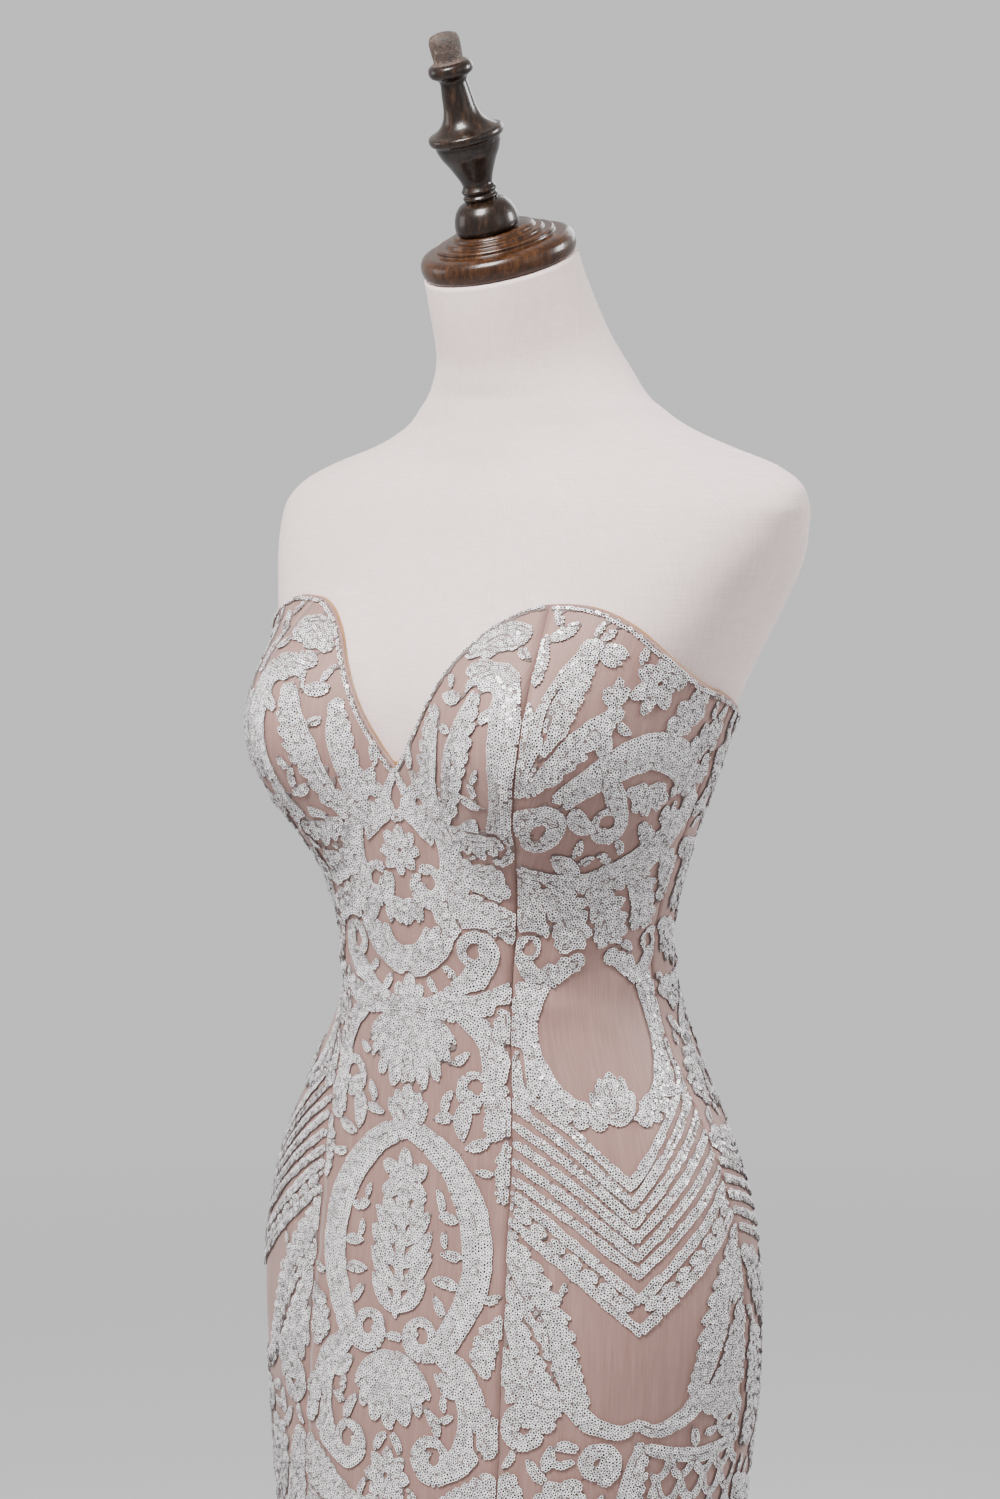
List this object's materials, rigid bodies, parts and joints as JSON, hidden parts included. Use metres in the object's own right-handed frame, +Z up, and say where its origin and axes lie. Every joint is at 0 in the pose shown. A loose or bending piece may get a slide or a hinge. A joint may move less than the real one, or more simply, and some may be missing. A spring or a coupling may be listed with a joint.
{
  "type": "mermaid wedding dress on a dress form",
  "caption": "Strapless mermaid wedding dress with a plunging sweetheart neckline and an embroidered all-over pattern, worn by a limbless dress form on a stand.",
  "frame": {"origin": "centre of the base's underside, on the floor", "axes": "+Z up, the dress faces -Y, the wearer's left is +X"},
  "size_m": [0.8374, 0.8909, 1.6682],
  "materials": {
    "gown_cloth": "blush mesh over satin, covered in white sequin embroidery",
    "facing_satin": "tan satin bias facing, slight sheen",
    "form_linen": "off-white fine linen stretched over a hard shell",
    "cap_wood": "turned brown wood, gloss lacquer",
    "finial_wood": "turned very dark wood, gloss lacquer",
    "stand_metal": "dark bronze powder coat, satin"
  },
  "bodies": {
    "root": {"front_panel": "gown_cloth", "side_front_left": "gown_cloth", "side_front_right": "gown_cloth", "back_left": "gown_cloth", "back_right": "gown_cloth", "neck_facing": "facing_satin", "form_torso": "form_linen", "neck_cap": "cap_wood", "finial": "finial_wood", "pole_socket": "stand_metal", "pole": "stand_metal", "base": "stand_metal"}
  },
  "joints": []
}
